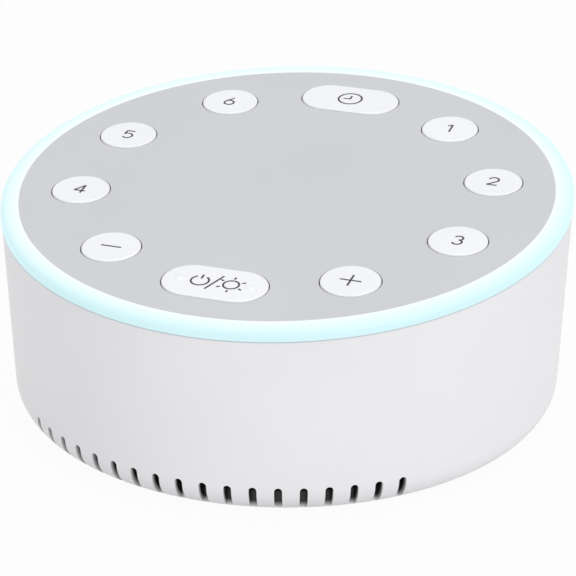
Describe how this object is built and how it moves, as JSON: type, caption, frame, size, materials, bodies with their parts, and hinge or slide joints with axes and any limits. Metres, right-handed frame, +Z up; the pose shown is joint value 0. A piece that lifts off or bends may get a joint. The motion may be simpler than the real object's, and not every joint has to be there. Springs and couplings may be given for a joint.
{
  "type": "white noise sound machine",
  "caption": "Round bedside sound machine with a sloping top panel of press keys, a glowing light ring, and sound slots round the foot of its housing.",
  "frame": {"origin": "on the table, under the middle of the round panel", "axes": "+Z up; the front, where the top is lowest and the power key sits, faces -Y; +X to the right seen from the front"},
  "size_m": [0.1198, 0.1198, 0.0531],
  "materials": {
    "housing_plastic": "fine moulded matte white ABS",
    "base_plastic": "fine moulded matte white ABS",
    "foot_rubber": "matte",
    "screw_steel": "zinc plated",
    "ring_diffuser": "frosted translucent diffuser, lit pale cyan",
    "panel_plastic": "fine matte light grey",
    "key_plastic": "satin white with printed grey legends",
    "circuit_board": "green solder mask",
    "switch_plastic": "moulded black",
    "led_package": "white package with phosphor",
    "inner_plastic": "moulded white",
    "pressed_steel": "dark plated",
    "surround_rubber": "matte",
    "cone_paper": "pressed black paper",
    "coil_copper": "enamelled wire",
    "ferrite": "ground ferrite",
    "chip_plastic": "moulded epoxy",
    "socket_steel": "nickel plated"
  },
  "bodies": {
    "housing": {"housing_shell": "housing_plastic", "base_cover": "base_plastic", "rubber_feet": "foot_rubber", "base_screws": "screw_steel", "light_ring": "ring_diffuser", "top_panel": "panel_plastic", "key_board": "circuit_board", "key_switches": "switch_plastic", "ring_leds": "led_package", "light_baffle": "inner_plastic", "panel_screws": "screw_steel", "top_chassis": "inner_plastic", "chassis_screws": "screw_steel", "speaker_basket": "pressed_steel", "speaker_surround": "surround_rubber", "speaker_cone": "cone_paper", "speaker_dust_cap": "cone_paper", "speaker_voice_coil": "coil_copper", "speaker_magnet": "ferrite", "speaker_top_plate": "pressed_steel", "speaker_pole_piece": "pressed_steel", "speaker_screws": "screw_steel", "main_board": "circuit_board", "main_board_screws": "screw_steel", "main_board_chips": "chip_plastic", "power_socket": "socket_steel"},
    "timer_key": {"timer_key": "key_plastic", "timer_plunger": "switch_plastic"},
    "sound_key_1": {"sound_key_1": "key_plastic", "sound_plunger_1": "switch_plastic"},
    "sound_key_2": {"sound_key_2": "key_plastic", "sound_plunger_2": "switch_plastic"},
    "sound_key_3": {"sound_key_3": "key_plastic", "sound_plunger_3": "switch_plastic"},
    "volume_up_key": {"volume_up_key": "key_plastic", "volume_up_plunger": "switch_plastic"},
    "power_light_key": {"power_light_key": "key_plastic", "power_light_plunger": "switch_plastic"},
    "volume_down_key": {"volume_down_key": "key_plastic", "volume_down_plunger": "switch_plastic"},
    "sound_key_4": {"sound_key_4": "key_plastic", "sound_plunger_4": "switch_plastic"},
    "sound_key_5": {"sound_key_5": "key_plastic", "sound_plunger_5": "switch_plastic"},
    "sound_key_6": {"sound_key_6": "key_plastic", "sound_plunger_6": "switch_plastic"}
  },
  "joints": [
    {"name": "timer_key_press", "type": "slide", "parent": "housing", "child": "timer_key", "axis": [0, 0.0906, -0.9959], "range_m": [0, 0.0008], "stiffness_N_per_m": 1800, "springref_m": -0.0002},
    {"name": "sound_key_1_press", "type": "slide", "parent": "housing", "child": "sound_key_1", "axis": [0, 0.0906, -0.9959], "range_m": [0, 0.0008], "stiffness_N_per_m": 1800, "springref_m": -0.0002},
    {"name": "sound_key_2_press", "type": "slide", "parent": "housing", "child": "sound_key_2", "axis": [0, 0.0906, -0.9959], "range_m": [0, 0.0008], "stiffness_N_per_m": 1800, "springref_m": -0.0002},
    {"name": "sound_key_3_press", "type": "slide", "parent": "housing", "child": "sound_key_3", "axis": [0, 0.0906, -0.9959], "range_m": [0, 0.0008], "stiffness_N_per_m": 1800, "springref_m": -0.0002},
    {"name": "volume_up_key_press", "type": "slide", "parent": "housing", "child": "volume_up_key", "axis": [0, 0.0906, -0.9959], "range_m": [0, 0.0008], "stiffness_N_per_m": 1800, "springref_m": -0.0002},
    {"name": "power_light_key_press", "type": "slide", "parent": "housing", "child": "power_light_key", "axis": [0, 0.0906, -0.9959], "range_m": [0, 0.0008], "stiffness_N_per_m": 1800, "springref_m": -0.0002},
    {"name": "volume_down_key_press", "type": "slide", "parent": "housing", "child": "volume_down_key", "axis": [0, 0.0906, -0.9959], "range_m": [0, 0.0008], "stiffness_N_per_m": 1800, "springref_m": -0.0002},
    {"name": "sound_key_4_press", "type": "slide", "parent": "housing", "child": "sound_key_4", "axis": [0, 0.0906, -0.9959], "range_m": [0, 0.0008], "stiffness_N_per_m": 1800, "springref_m": -0.0002},
    {"name": "sound_key_5_press", "type": "slide", "parent": "housing", "child": "sound_key_5", "axis": [0, 0.0906, -0.9959], "range_m": [0, 0.0008], "stiffness_N_per_m": 1800, "springref_m": -0.0002},
    {"name": "sound_key_6_press", "type": "slide", "parent": "housing", "child": "sound_key_6", "axis": [0, 0.0906, -0.9959], "range_m": [0, 0.0008], "stiffness_N_per_m": 1800, "springref_m": -0.0002}
  ]
}
